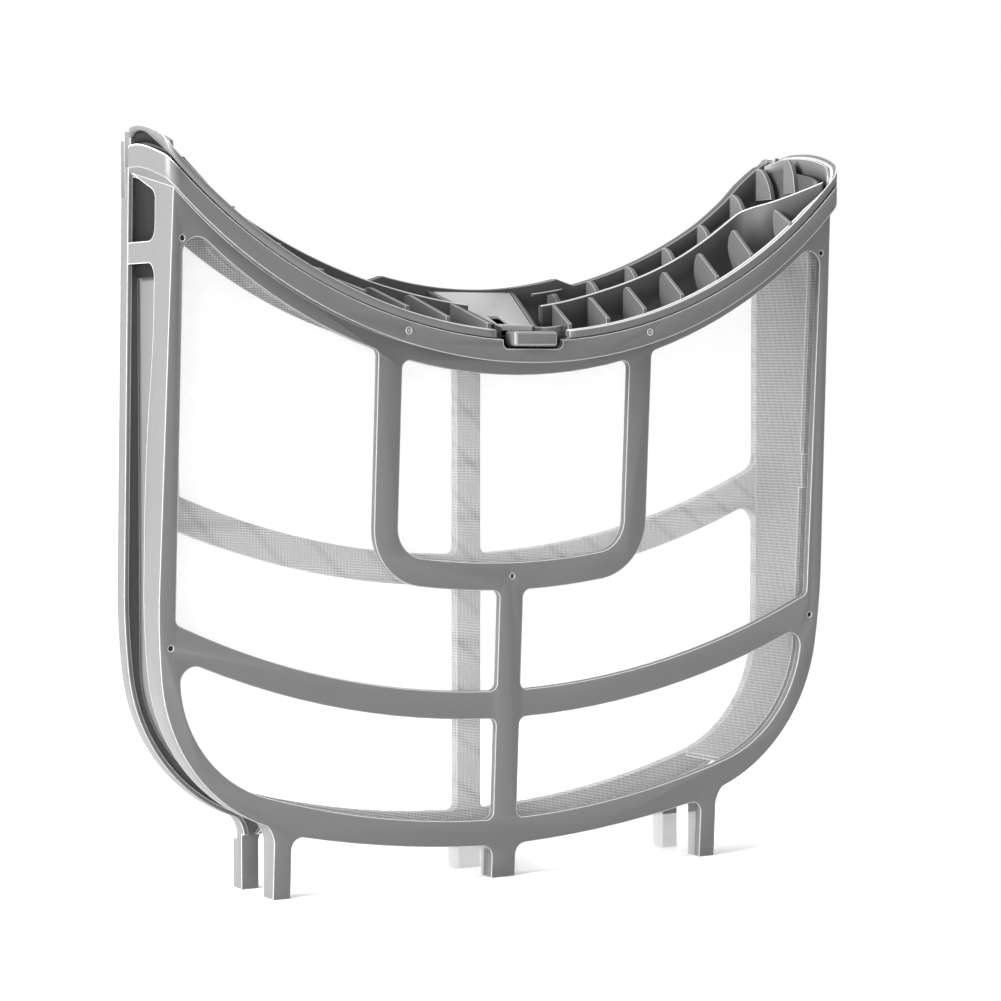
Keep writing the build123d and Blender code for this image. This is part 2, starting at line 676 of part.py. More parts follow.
grille_ring.part.label = "grille_ring"

# Lock plate: a sloping pale cover on the housing, with a slot and a lip at its front edge
with BuildPart() as lock_plate:
    with BuildSketch(plan(200)):
        Polygon((lock_x(-2.7) - LOCK_FIT, -2.7), (lock_x(LOCK_END) - LOCK_FIT, LOCK_END),
                (-lock_x(LOCK_END) + LOCK_FIT, LOCK_END), (-lock_x(-2.7) + LOCK_FIT, -2.7), align=None)
        with Locations((-5.0, -34.0)):
            Rectangle(6.2, 9.0, mode=Mode.SUBTRACT)
    extrude(amount=80)
    with BuildSketch(side(0)):
        with BuildLine():
            z_front = LOCK_Z + LOCK_SLOPE * (-42.0 - LOCK_Y)
            z_back = LOCK_Z - LOCK_SLOPE * LOCK_Y
            Polyline((-42.2, z_front + 0.7), (-41.2, z_front + 1.0), (-40.6, z_front + 0.55), (0, z_back),
                     (0, z_back - LOCK_T), (-42.2, z_front - LOCK_T), (-42.2, z_front + 0.7))
        make_face()
    extrude(amount=60, both=True, mode=Mode.INTERSECT)
lock_plate.part.label = "lock_plate"

# Latch tab: a push button in the notch, with its stem in the housing
with BuildPart() as latch_tab:
    tab_z = (TAB_LOW + TAB_TOP) / 2
    with BuildSketch(Plane(origin=(0, REAR_Y + TAB_Y, tab_z), x_dir=(1, 0, 0), z_dir=(0, -1, 0))):
        RectangleRounded(TAB_W, TAB_TOP - TAB_LOW, 1.2)
    extrude(amount=-TAB_DEEP)
    chamfer(latch_tab.faces().sort_by(Axis.Y)[0].edges(), length=0.7)
    with Locations((0, REAR_Y + TAB_Y + TAB_DEEP - 1, tab_z - 0.2)):
        Box(STEM_W, STEM_BACK - TAB_Y - TAB_DEEP + 1, STEM_T, align=(Align.CENTER, Align.MIN, Align.CENTER))
latch_tab.part.label = "latch_tab"

# Woven screens, bonded to the backs of the front bars and the fronts of the rear bars
with BuildPart() as front_screen:
    with BuildSketch(FRONT.offset(-PLATE - BOND_GAP)):
        with BuildLine():
            field_half(OPEN_TOP, SIDE_IN, 2.6, FRONT_TURN)
            mirror(about=Plane.YZ)
        make_face()
    extrude(amount=-SCREEN)
front_screen.part.label = "front_screen"
with BuildPart() as rear_screen:
    with BuildSketch(REAR.offset(BOND_GAP)):
        with BuildLine():
            field_half(REAR_OPEN_TOP + 1.0, TRAY_IN, -0.2)
            mirror(about=Plane.YZ)
        make_face()
    extrude(amount=SCREEN)
rear_screen.part.label = "rear_screen"

# Folding strips between the feet: each has an upright pane on its frame and a floor to the fold
with BuildPart() as rear_strip:
    with BuildSketch(REAR.offset(BOND_GAP)):
        with Locations((0, FOLD_Z)):
            Rectangle(2 * LEG_IN - 0.6, STRIP_TOP, align=(Align.CENTER, Align.MIN))
    extrude(amount=STRIP)
    with BuildSketch(plan(FOLD_Z - STRIP / 2)):
        with Locations((0, -BOND_GAP)):
            Rectangle(2 * LEG_IN - 0.6, -FOLD_Y - FOLD_GAP - BOND_GAP, align=(Align.CENTER, Align.MAX))
    extrude(amount=STRIP)
rear_strip.part.label = "rear_strip"

strip_front = FRONT_Y + PLATE + BOND_GAP + 0.1
with BuildPart() as front_strip:
    with BuildSketch(FRONT.offset(-PLATE - BOND_GAP)):
        with Locations((0, FOLD_Z)):
            Rectangle(2 * LEG_IN - 0.6, STRIP_TOP, align=(Align.CENTER, Align.MIN))
        Rectangle(2 * LEG_C + 2 * WALL + 0.6, 32, mode=Mode.SUBTRACT)
    extrude(amount=-STRIP)
    with BuildSketch(plan(FOLD_Z - STRIP / 2)):
        with Locations((0, FOLD_Y - FOLD_GAP)):
            Rectangle(2 * LEG_IN - 0.6, FOLD_Y - FOLD_GAP - strip_front, align=(Align.CENTER, Align.MAX))
        with Locations((0, -40)):
            Rectangle(2 * LEG_C + 0.6, 2 * (40 + FRONT_Y + FRONT_LEG_DEEP + 0.3), mode=Mode.SUBTRACT)
    extrude(amount=STRIP)
front_strip.part.label = "front_strip"

os.makedirs("parts", exist_ok=True)
for piece in (front_frame, rear_frame, grille_ring, lock_plate, latch_tab, front_screen, rear_screen,
              front_strip, rear_strip):
    export_step(piece.part, "parts/" + piece.part.label + ".step")
    print(piece.part.label, len(piece.part.solids()), "solid", round(piece.part.volume), "mm3")
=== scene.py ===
# %% [markdown]
# # A dryer lint filter, dressed for its photograph
# The filter is two moulded halves with a fine screen in each, and a curved grille over its mouth.
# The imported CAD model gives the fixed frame: nine nodes on three bodies, in metres. The whole
# filter could be modelled afresh here, but then its looks and its motions would drift apart, so
# this file gives each node its surface and builds only what the CAD leaves plain.

# %% Load the frame
import math

import bmesh
import bpy
from mathutils import Euler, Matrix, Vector


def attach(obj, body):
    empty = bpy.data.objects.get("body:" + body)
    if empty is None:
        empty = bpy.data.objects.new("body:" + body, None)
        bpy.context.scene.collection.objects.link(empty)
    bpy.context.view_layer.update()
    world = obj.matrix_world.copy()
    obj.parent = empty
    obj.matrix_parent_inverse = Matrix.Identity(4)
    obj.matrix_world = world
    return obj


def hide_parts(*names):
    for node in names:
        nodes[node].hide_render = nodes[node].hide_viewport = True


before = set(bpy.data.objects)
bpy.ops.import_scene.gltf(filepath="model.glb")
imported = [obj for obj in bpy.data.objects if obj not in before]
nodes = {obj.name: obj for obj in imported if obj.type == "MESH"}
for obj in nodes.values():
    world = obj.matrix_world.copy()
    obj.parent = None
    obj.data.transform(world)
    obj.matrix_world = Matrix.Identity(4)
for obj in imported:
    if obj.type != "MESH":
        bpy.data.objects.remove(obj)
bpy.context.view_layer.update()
scene = bpy.context.scene
print("nodes:", ", ".join(sorted(nodes)))

# %% [markdown]
# ## Shader helpers
# Materials are graphs of nodes. Two short helpers keep them readable: one adds a node with its
# settings and inputs, the other adds a Math node. A third opens a node group, which packs an
# effect once, so that several materials can place it with their own values.


# %% Node helpers
def group(name, inputs, outputs):
    """A new shader node group with named sockets, and its two end nodes."""
    tree = bpy.data.node_groups.new(name, "ShaderNodeTree")
    for label, kind, value in inputs:
        socket = tree.interface.new_socket(label, in_out="INPUT", socket_type=kind)
        if value is not None:
            socket.default_value = value
    for label, kind in outputs:
        tree.interface.new_socket(label, in_out="OUTPUT", socket_type=kind)
    return tree, tree.nodes.new("NodeGroupInput"), tree.nodes.new("NodeGroupOutput")


def add(tree, kind, inputs=None, **settings):
    """A node with its settings, its input values, and links from other nodes' sockets."""
    node = tree.nodes.new(kind)
    for key, value in settings.items():
        setattr(node, key, value)
    for key, value in (inputs or {}).items():
        if isinstance(value, bpy.types.NodeSocket):
            tree.links.new(value, node.inputs[key])
        else:
            node.inputs[key].default_value = value
    return node


def maths(tree, operation, a, b=0.0, c=0.0):
    """The output of one Math node."""
    return add(tree, "ShaderNodeMath", {0: a, 1: b, 2: c}, operation=operation).outputs[0]


def mix_shaders(tree, share, first, second):
    """Two shaders mixed; share is how much of the second shows."""
    mix = add(tree, "ShaderNodeMixShader", {0: share})
    tree.links.new(first.outputs[0], mix.inputs[1])
    tree.links.new(second.outputs[0], mix.inputs[2])
    return mix


FLOAT, VECTOR = "NodeSocketFloat", "NodeSocketVector"
print("node helpers ready")

# %% [markdown]
# ## Moulded plastic
# The frames come from a mould with a spark-eroded finish: fine pits, a slow mottling of the
# colour, and a sheen that drifts with it. An image could carry this, but noise stays sharp at any
# distance and needs no unwrapping, so the grain is made from noise and cell textures.

# %% Group: moulded plastic
moulded, gi, go = group("moulded_plastic", [("Place", VECTOR, None), ("Grain", FLOAT, 0.3)],
                        [("Tone", FLOAT), ("Roughness", FLOAT), ("Normal", VECTOR)])
grain = add(moulded, "ShaderNodeTexNoise", {"Vector": gi.outputs["Place"], "Scale": 2600.0,
                                            "Detail": 3.0, "Roughness": 0.6})
pits = add(moulded, "ShaderNodeTexVoronoi", {"Vector": gi.outputs["Place"], "Scale": 1500.0})
cloud = add(moulded, "ShaderNodeTexNoise", {"Vector": gi.outputs["Place"], "Scale": 22.0, "Detail": 4.0})
height = maths(moulded, "MULTIPLY_ADD", pits.outputs["Distance"], 0.5, grain.outputs["Fac"])
bump = add(moulded, "ShaderNodeBump", {"Height": height, "Strength": gi.outputs["Grain"],
                                       "Distance": 0.00006})
speck = maths(moulded, "MULTIPLY_ADD", grain.outputs["Fac"], 0.30, 0.85)
drift = maths(moulded, "MULTIPLY_ADD", cloud.outputs["Fac"], 0.16, 0.92)
rough = maths(moulded, "MULTIPLY_ADD", cloud.outputs["Fac"], 0.18, 0.36)
moulded.links.new(maths(moulded, "MULTIPLY", speck, drift), go.inputs["Tone"])
moulded.links.new(rough, go.inputs["Roughness"])
moulded.links.new(bump.outputs["Normal"], go.inputs["Normal"])
print("moulded_plastic:", len(moulded.nodes), "nodes")

# %% [markdown]
# ## Painted edge highlights
# Every edge of a moulding catches the light. Bevelled geometry in a lighter colour paints that
# highlight where an edge has room. Where faces are too small for that, a shader mask paints it: a
# rounded normal differs from the face's own only along an edge, and the difference is the mask.

# %% Group: painted edge highlights
edges, gi, go = group("painted_edge_highlight", [("Radius", FLOAT, 0.0006)], [("Edge", FLOAT)])
soft = add(edges, "ShaderNodeBevel", {"Radius": gi.outputs["Radius"]}, samples=6)
face = add(edges, "ShaderNodeNewGeometry")
same = add(edges, "ShaderNodeVectorMath", {0: soft.outputs[0], 1: face.outputs["Normal"]},
           operation="DOT_PRODUCT")
turned_away = maths(edges, "SUBTRACT", 1.0, same.outputs["Value"])
span = add(edges, "ShaderNodeMapRange", {"Value": turned_away, "From Min": 0.008, "From Max": 0.08,
                                         "To Max": 1.0})
edges.links.new(span.outputs[0], go.inputs["Edge"])
print("painted_edge_highlight:", len(edges.nodes), "nodes")

# %% [markdown]
# ## Woven threads
# The screens are a plain weave of white thread, finer than a millimetre. Modelling each thread
# would take millions of faces, so the weave is a mask: it says where a thread covers the opening,
# and how high the upper thread stands at each crossing.


# %% Group: woven threads
def thread(tree, across, width):
    """One set of threads: how far inside a thread a point lies, from 0 at its edge to 1."""
    near = maths(tree, "ABSOLUTE", maths(tree, "SUBTRACT", maths(tree, "FRACT", across), 0.5))
    half = maths(tree, "MULTIPLY", width, 0.5)
    inside = maths(tree, "SUBTRACT", 1.0, maths(tree, "DIVIDE", near, half))
    return maths(tree, "MAXIMUM", inside, 0.0)


woven, gi, go = group("woven_threads",
                      [("Across", FLOAT, 0.0), ("Along", FLOAT, 0.0), ("Pitch", FLOAT, 0.0008),
                       ("Width", FLOAT, 0.2)],
                      [("Cover", FLOAT), ("Height", FLOAT)])
u = maths(woven, "DIVIDE", gi.outputs["Across"], gi.outputs["Pitch"])
v = maths(woven, "DIVIDE", gi.outputs["Along"], gi.outputs["Pitch"])
warp = thread(woven, u, gi.outputs["Width"])
weft = thread(woven, v, gi.outputs["Width"])
steep = maths(woven, "MULTIPLY", maths(woven, "MAXIMUM", warp, weft), 6.0)
checks = maths(woven, "ADD", maths(woven, "FLOOR", u), maths(woven, "FLOOR", v))
parity = maths(woven, "PINGPONG", checks, 1.0)
over = maths(woven, "MULTIPLY", warp, parity)
under = maths(woven, "MULTIPLY", weft, maths(woven, "SUBTRACT", 1.0, parity))
woven.links.new(maths(woven, "MINIMUM", steep, 1.0), go.inputs["Cover"])
woven.links.new(maths(woven, "ADD", over, under), go.inputs["Height"])
print("woven_threads:", len(woven.nodes), "nodes")

# %% [markdown]
# ## The plastics
# The filter is one grey plastic, but its parts look different: the frames are mid-grey, the ring's
# walls lie in shade and are painted darker for it, so they look nearly black, and the lock plate is
# painted paler for the light on its top. One function makes all of them, so the grain stays the same
# and only the colour, sheen and painted edge highlight change.


# %% Plastic function
def new_material(name):
    """An empty material, its node tree, and the object's own coordinates in metres."""
    material = bpy.data.materials.new(name)
    material.use_nodes = True
    tree = material.node_tree
    tree.nodes.clear()
    coords = add(tree, "ShaderNodeTexCoord").outputs["Object"]
    return material, tree, coords


def surface(tree, shader):
    """Send a shader to the material's output."""
    out = add(tree, "ShaderNodeOutputMaterial")
    tree.links.new(shader.outputs[0], out.inputs["Surface"])


EDGE_RADIUS = 0.0008


def plastic(name, colour, grain=0.3, roughness_shift=0.0, specular=0.45, edge=None):
    """Moulded plastic: a base colour drifted by the grain, and lighter along its edges, a painted
    highlight.
    """
    material, tree, coords = new_material(name)
    look = add(tree, "ShaderNodeGroup", node_tree=moulded)
    look.inputs["Grain"].default_value = grain
    tree.links.new(coords, look.inputs["Place"])
    mix = add(tree, "ShaderNodeMix", {"Factor": look.outputs["Tone"]}, data_type="RGBA")
    mix.inputs[6].default_value = (*[c * 0.82 for c in colour], 1)
    mix.inputs[7].default_value = (*[c * 1.16 for c in colour], 1)
    colour_out = mix.outputs[2]
    # The edge colour is a painted highlight, mixed in along every edge by the mask.
    if edge:
        edge_highlight = add(tree, "ShaderNodeGroup", node_tree=edges)
        edge_highlight.inputs["Radius"].default_value = EDGE_RADIUS
        rim = add(tree, "ShaderNodeMix", {"Factor": edge_highlight.outputs["Edge"]}, data_type="RGBA")
        tree.links.new(colour_out, rim.inputs[6])
        rim.inputs[7].default_value = (*edge, 1)
        colour_out = rim.outputs[2]
    shader = add(tree, "ShaderNodeBsdfPrincipled",
                 {"Base Color": colour_out, "Normal": look.outputs["Normal"]})
    shader.inputs["Specular IOR Level"].default_value = specular
    roughness = maths(tree, "ADD", look.outputs["Roughness"], roughness_shift)
    tree.links.new(roughness, shader.inputs["Roughness"])
    surface(tree, shader)
    return material


print("edges lighten within", EDGE_RADIUS * 1000, "mm")

# %% The plastics of each part
FRAME_GREY = (0.084, 0.0845, 0.085)
polished = {"grain": 0.15, "roughness_shift": -0.06}
# The frames' edges are painted much lighter than their faces, by the mask and on the bevelled faces: a
# painted highlight.
grey = plastic("frame_plastic", FRAME_GREY, edge=(0.50, 0.50, 0.502))
frame_highlight = plastic("frame_edge_highlight", (0.34, 0.34, 0.342), **polished)
# The ring's walls are the frames' plastic painted darker, a painted shade for the shade they lie in;
# their edges are painted lighter, a painted highlight.
ring_shade_grey = plastic("ring_painted_shade", (0.040, 0.0403, 0.0406), specular=0.2)
ring_highlight = plastic("ring_highlight", (0.115, 0.115, 0.116), **polished)
# The fins and end walls are painted a little darker than the frames, a painted shade, and their edges
# lighter, a painted highlight.
fin_shade_grey = plastic("fin_painted_shade", (0.072, 0.0724, 0.0728))
fin_highlight = plastic("fin_highlight", (0.21, 0.21, 0.212), **polished)
# Near black: a painted shadow for the dark line between ring and rim.
shadow = plastic("tongue_painted_shadow", (0.012, 0.012, 0.012))
# Near black, with almost no sheen: a painted shade for the shallow recesses at the ring's ends.
recess_shade = plastic("recess_painted_shade", (0.012, 0.012, 0.012), specular=0.03)
# The lock plate is the frames' plastic painted paler, a painted light for the light on its top; its edges
# paler still, a painted highlight.
lock_lit_grey = plastic("lock_painted_light", (0.235, 0.235, 0.232), grain=0.2)
lock_highlight = plastic("lock_edge_highlight", (0.27, 0.27, 0.268), grain=0.1, roughness_shift=-0.06)
tab_grey = plastic("tab_plastic", FRAME_GREY)
# The tab's rounded edges are painted lighter than its faces, a painted highlight.
tab_highlight = plastic("tab_highlight", (0.20, 0.20, 0.202), **polished)
print("plastics:", len(bpy.data.materials))

# %% [markdown]
# ## Screen and film
# A thread scatters light and lets some through, and between threads there is nothing, so the
# weave's mask mixes a white cloth shader with a clear one. The strips at the foot are film: the
# same mix, with a thin gloss, and a veil of faint clouds and calender lines for its mask.


# %% Screen and film functions
def cloth(tree, colour, share, normal=None):
    """A scattering shader that lets the given share of the light through."""
    inputs = {"Color": colour} if normal is None else {"Color": colour, "Normal": normal}
    diffuse = add(tree, "ShaderNodeBsdfDiffuse", inputs)
    return mix_shaders(tree, share, diffuse, add(tree, "ShaderNodeBsdfTranslucent", {"Color": colour}))


def screen_material(name, pitch, width, colour):
    """White threads with clear gaps between them, laid across and up the sheet."""
    material, tree, coords = new_material(name)
    split = add(tree, "ShaderNodeSeparateXYZ", {0: coords})
    look = add(tree, "ShaderNodeGroup", node_tree=woven)
    look.inputs["Pitch"].default_value = pitch
    look.inputs["Width"].default_value = width
    tree.links.new(split.outputs["X"], look.inputs["Across"])
    tree.links.new(split.outputs["Z"], look.inputs["Along"])
    bump = add(tree, "ShaderNodeBump", {"Height": look.outputs["Height"], "Strength": 0.6,
                                        "Distance": 0.0001})
    clear = add(tree, "ShaderNodeBsdfTransparent")
    threads = cloth(tree, colour, 0.45, bump.outputs["Normal"])
    surface(tree, mix_shaders(tree, look.outputs["Cover"], clear, threads))
    return material


def film_material(name, colour):
    """Translucent film with a faint cloud and calender lines."""
    material, tree, coords = new_material(name)
    lines = add(tree, "ShaderNodeTexWave", {"Vector": coords, "Scale": 900.0, "Distortion": 1.5},
                bands_direction="X")
    cloud = add(tree, "ShaderNodeTexNoise", {"Vector": coords, "Scale": 60.0, "Detail": 3.0})
    base = maths(tree, "MULTIPLY_ADD", lines.outputs["Fac"], 0.06, 0.32)
    veil = maths(tree, "MULTIPLY_ADD", cloud.outputs["Fac"], 0.22, base)
    gloss = add(tree, "ShaderNodeBsdfGlossy", {"Roughness": 0.25, "Color": (1, 1, 1, 1)})
    coated = mix_shaders(tree, 0.05, cloth(tree, colour, 0.5), gloss)
    surface(tree, mix_shaders(tree, veil, add(tree, "ShaderNodeBsdfTransparent"), coated))
    return material


THREAD_PITCH, THREAD_SHARE = 0.0007, 0.16
THREAD_WHITE = (0.95, 0.95, 0.95, 1)
screen_white = screen_material("screen_weave", THREAD_PITCH, THREAD_SHARE, THREAD_WHITE)
screen_rear = screen_material("screen_weave_rear", THREAD_PITCH, THREAD_SHARE, THREAD_WHITE)
film = film_material("strip_film", (0.93, 0.93, 0.93, 1))
print("materials:", len(bpy.data.materials), "groups:", len(bpy.data.node_groups))

# %% [markdown]
# ## The moulded nodes
# The two frames, the lock plate and the latch tab are right in the CAD, so their solids are shown
# as they are. Their meshes could be rebuilt with loops for a subdivision surface, but modifiers do
# it without touching a mesh: weld the corners, dissolve flat faces to clean polygons, and round
# the sharp edges, with the rounded faces in a lighter material, a painted highlight.


# %% Round the edges of the moulded nodes
def round_edges(o, width):
    """Bevel the sharp edges. The new faces take the second material, a lighter painted highlight."""
    bevel = o.modifiers.new("round", "BEVEL")
    bevel.width = width
    bevel.segments = 2
    bevel.limit_method = "ANGLE"
    bevel.angle_limit = math.radians(32)
    bevel.harden_normals = True
    bevel.material = 1
    for p in o.data.polygons:
        p.use_smooth = True


def moulded_node(name, width, face, edge):
    """Show a CAD node as a moulding whose rounded edges carry a painted highlight."""
    o = nodes[name]
    o.data.materials.clear()
    o.data.materials.append(face)
    o.data.materials.append(edge)
    o.modifiers.new("weld", "WELD").merge_threshold = 1e-6
    flat = o.modifiers.new("dissolve", "DECIMATE")
    flat.decimate_type = "DISSOLVE"
    flat.angle_limit = math.radians(0.8)
    round_edges(o, width)
    shown = o.evaluated_get(bpy.context.evaluated_depsgraph_get())
    print(name, len(shown.data.polygons), "faces")


FRAME_ROUND, TAB_ROUND, LOCK_ROUND = 0.00045, 0.00035, 0.0004
moulded_node("front_frame", FRAME_ROUND, grey, frame_highlight)
moulded_node("rear_frame", FRAME_ROUND, grey, frame_highlight)
moulded_node("latch_tab", TAB_ROUND, tab_grey, tab_highlight)
moulded_node("lock_plate", LOCK_ROUND, lock_lit_grey, lock_highlight)

# %% [markdown]
# ## The shape of the grille ring
# The ring closes the filter's mouth. Its top follows the door arc from side to side, is crowned
# from front to back, and bulges at its back near both ends. Sculpting could give such a surface,
# but every wall and fin has to end on it, so it is one formula that all of them ask for their
# height. Lengths are in millimetres, and depths are measured from the rear frame's face.

# %% Heights of the ring
MM = 0.001
REAR_Y = 25.0        # how far the rear frame's face lies behind the middle of the model
ARC_R = 232.5        # radius of the door arc
FRONT_TOP = 243.4    # height of the ring's top at its front, over the arc
FLAT_Z = 320.0       # above this height the ring's ends flatten
BACK_BULGE = [(0, 0), (125, 0), (139, 1.2), (146.5, 2.8), (153, 2.6), (160, 1.2), (164, -0.6),
              (167.5, -3.2), (172, -3.2)]


def clamp(value):
    """A value held between 0 and 1."""
    return min(max(value, 0.0), 1.0)


def between(table, x):
    """A value read from a table of pairs, on straight lines."""
    for (x0, v0), (x1, v1) in zip(table, table[1:]):
        if x <= x1:
            return v0 + (v1 - v0) * (x - x0) / (x1 - x0)
    return table[-1][1]


def sag(x):
    """How far the door arc rises at x."""
    return ARC_R - math.sqrt(ARC_R ** 2 - x * x)


def crown(y):
    """Height of the ring's top over the arc. It rises from the front and levels off at the back."""
    back = y + 50.0
    return FRONT_TOP + 0.5315 * back - 0.00559 * back * back


def top_z(x, y):
    """The ring's top, with its back bulge and its flattened ends."""
    z = crown(y) + sag(x) + between(BACK_BULGE, abs(x)) * clamp((y + 12.0) / 12.0)
    return min(z, FLAT_Z + 0.62 * (z - FLAT_Z))


def seam_z(x, y):
    """The ring's lower edge: a thin gap over the rim, which opens to a wedge at both ends."""
    wedge = clamp((abs(x) - 110.0) / 60.0) ** 2
    return 238.0 + 0.19 * (y + 50.0) + sag(x) + 1.1 * wedge


print("ring top:", [round(top_z(x, -25.0), 1) for x in (0, 60, 120, 165)], "mm at x 0, 60, 120, 165")

# %% [markdown]
# ## The ring in plan
# Seen from above, the ring is a long D: a gently bowed front, a tight corner, a rounded end and a
# straight back. Arcs through three points each give that outline with few numbers, and an inset
# moves all of them inwards, so the inner walls follow the outer one.

# %% Outline in plan
CORNER_X, CORNER_Y, CORNER_R = 164.6, -45.4, 5.0
SHOULDER_X, SHOULDER_Y = 168.9, -13.5
BACK_X, BACK_Y = 164.0, -0.2


def arc(a, b, c, count):
    """Points on the arc through three points in plan, without the last."""
    ax, ay, bx, by, cx, cy = *a, *b, *c
    aa, bb, cc = ax * ax + ay * ay, bx * bx + by * by, cx * cx + cy * cy
    d = 2 * (ax * (by - cy) + bx * (cy - ay) + cx * (ay - by))
    ux = (aa * (by - cy) + bb * (cy - ay) + cc * (ay - by)) / d
    uy = (aa * (cx - bx) + bb * (ax - cx) + cc * (bx - ax)) / d
    r = math.hypot(ax - ux, ay - uy)
    start, mid, end = (math.atan2(q[1] - uy, q[0] - ux) for q in (a, b, c))
    turn = (end - start) % (2 * math.pi)
    if (mid - start) % (2 * math.pi) > turn:
        turn -= 2 * math.pi
    angles = [start + turn * k / count for k in range(count)]
    return [(ux + r * math.cos(t), uy + r * math.sin(t)) for t in angles]


def outline(inset):
    """Right half of the ring in plan, from the middle of its front round the end to its back."""
    r = CORNER_R - inset
    angles = [math.radians(t) for t in (-97.0, -46.0, 5.0)]
    corner = [(CORNER_X + r * math.cos(t), CORNER_Y + r * math.sin(t)) for t in angles]
    shoulder = (SHOULDER_X - inset, SHOULDER_Y)
    back = (BACK_X - inset, BACK_Y)
    points = arc((0.0, -55.4 + inset), (82.0, -54.1 + inset), corner[0], 44)
    points += arc(*corner, 7)
    points += arc(corner[2], (170.6 - inset, -30.5), shoulder, 12)
    points += arc(shoulder, (167.2 - inset, -6.2), back, 10)
    return points + [back]


print("outline:", len(outline(0.0)), "points, half width", max(x for x, y in outline(0.0)), "mm")

# %% [markdown]
# ## Walls, fins and how they are built
# A wall is swept along its outline: at each station it has an outer and an inner point, a foot and
# a top with rounded edges. A curve with a bevel profile could do the sweep, but it can't change its
# height from station to station. A fin is a flat outline given a thickness.


# %% Bands and plates
def place(x, y, z):
    """Millimetres and depth to the model's metres."""
    return (x * MM, (y + REAR_Y) * MM, z * MM)


def new_piece(name, bm, materials, body="front_half"):
    """Make a piece of the mesh that rides on a body."""
    bmesh.ops.recalc_face_normals(bm, faces=bm.faces)
    mesh = bpy.data.meshes.new(name)
    bm.to_mesh(mesh)
    bm.free()
    for m in materials:
        mesh.materials.append(m)
    o = bpy.data.objects.new(name, mesh)
    scene.collection.objects.link(o)
    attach(o, body)
    print(name, len(mesh.polygons), "faces")
    return o


def band(bm, stations, edge=0.45, bead=0.0, fall=0.0):
    """A wall of stations: outer point, inner point, low and top. Near the ring's ends, its top may
    fall inwards. A bead stands along its inner edge."""
    rings = []
    for (ox, oy), (ix, iy), low, top in stations:
        slope = fall * clamp((abs(ox) - 150.0) / 12.0)
        thick = math.hypot(ix - ox, iy - oy)
        e = min(edge, 0.35 * thick, 0.45 * (top - low))
        crest_z = top + bead
        section = [(0.0, low), (0.0, top - e), (0.29 * e, top - 0.29 * e), (e, top)]
        if bead:
            section += [(thick - 1.5, top), (thick - 1.25, crest_z), (thick - e, crest_z)]
        section += [(thick - e, crest_z), (thick - 0.29 * e, crest_z - 0.29 * e), (thick, crest_z - e),
                    (thick, low)]
        ring = []
        for s, z in section:
            x, y = ox + (ix - ox) * s / thick, oy + (iy - oy) * s / thick
            ring.append(bm.verts.new(place(x, y, max(low, z - slope * s))))
        rings.append(ring)
    count = len(rings[0])
    # The rounded top edges and the bead take the second material, which for most pieces is a lighter
    # painted highlight.
    lit = {1, 2, count - 4, count - 3} | ({4, 5} if bead else set())
    for a, b in zip(rings, rings[1:]):
        for k in range(count):
            n = (k + 1) % count
            face = bm.faces.new((a[k], b[k], b[n], a[n]))
            face.smooth = True
            face.material_index = 1 if k in lit else 0
    for cap in (rings[0], rings[-1]):
        bm.faces.new(cap)


def wall_piece(name, walls, materials, body="front_half", **how):
    """A piece made of walls at the right and their mirror images at the left."""
    bm = bmesh.new()
    for stations in walls:
        band(bm, stations, **how)
        band(bm, [((-o[0], o[1]), (-i[0], i[1]), low, top) for o, i, low, top in stations], **how)
    return new_piece(name, bm, materials, body)


def plate(bm, x, profile, thick, slant=0.0):
    """A fin with an outline of depths and heights. It slants outwards towards the back."""
    out = 1 if x > 0 else -1
    away = [slant * (y - profile[-1][0]) * out for y, z in profile]
    left = [bm.verts.new(place(x + dx - thick / 2, y, z)) for dx, (y, z) in zip(away, profile)]
    right = [bm.verts.new(place(x + dx + thick / 2, y, z)) for dx, (y, z) in zip(away, profile)]
    bm.faces.new(left)
    bm.faces.new(right)
    for k in range(len(profile)):
        n = (k + 1) % len(profile)
        bm.faces.new((left[k], left[n], right[n], right[k]))


def smooth_path(points, count=5):
    """Catmull-Rom points through an open outline."""
    out = []
    for k in range(len(points) - 1):
        p0, p1, p2 = points[max(k - 1, 0)], points[k], points[k + 1]
        p3 = points[min(k + 2, len(points) - 1)]
        for t in (j / count for j in range(count)):
            out.append(tuple(0.5 * (2 * p1[i] + (p2[i] - p0[i]) * t
                                    + (2 * p0[i] - 5 * p1[i] + 4 * p2[i] - p3[i]) * t * t
                                    + (3 * p1[i] - p0[i] - 3 * p2[i] + p3[i]) * t ** 3) for i in (0, 1)))
    return out + [points[-1]]


print("ring helpers ready")

# %% [markdown]
# ## Outer wall
# The outer wall is what the hand touches. It leaves a notch at the front for the latch tab, and at
# each end a finger window opens under a thin hoop. A boolean could cut it, but that would leave
# ragged faces, so the wall's own foot rises to the hoop instead.

# %% Outer wall
NOTCH = 15.0                              # half width of the notch for the latch tab
WALL, HOOP = 3.4, 2.6                     # thickness of the wall, and height of the hoop
WINDOW_FRONT, WINDOW_BACK = -48.0, -5.0   # depths between which the window lies
RISE_START, RISE_RUN = -48.3, 17.3        # where its foot starts to rise, and over what depth
outer, inner = outline(0.0), outline(WALL)
wall = [(o, i, seam_z(*o), top_z(*o)) for o, i in zip(outer, inner)]
first = next(k for k, (x, y) in enumerate(outer) if x > NOTCH)
window = [k for k, (x, y) in enumerate(outer) if x > 160.0 and WINDOW_FRONT < y < WINDOW_BACK]
opened = list(wall)
for k in window:
    o, i, low, top = wall[k]
    rise = min(1.0, (o[1] - RISE_START) / RISE_RUN)
    opened[k] = (o, i, max(low, low + (top - HOOP - low) * rise), top)
walls = (opened[first:window[-1] + 1], wall[window[-1] + 1:])
ring_wall = wall_piece("ring_wall", walls, (grey, frame_highlight), bead=0.35, fall=0.8)
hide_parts("grille_ring")

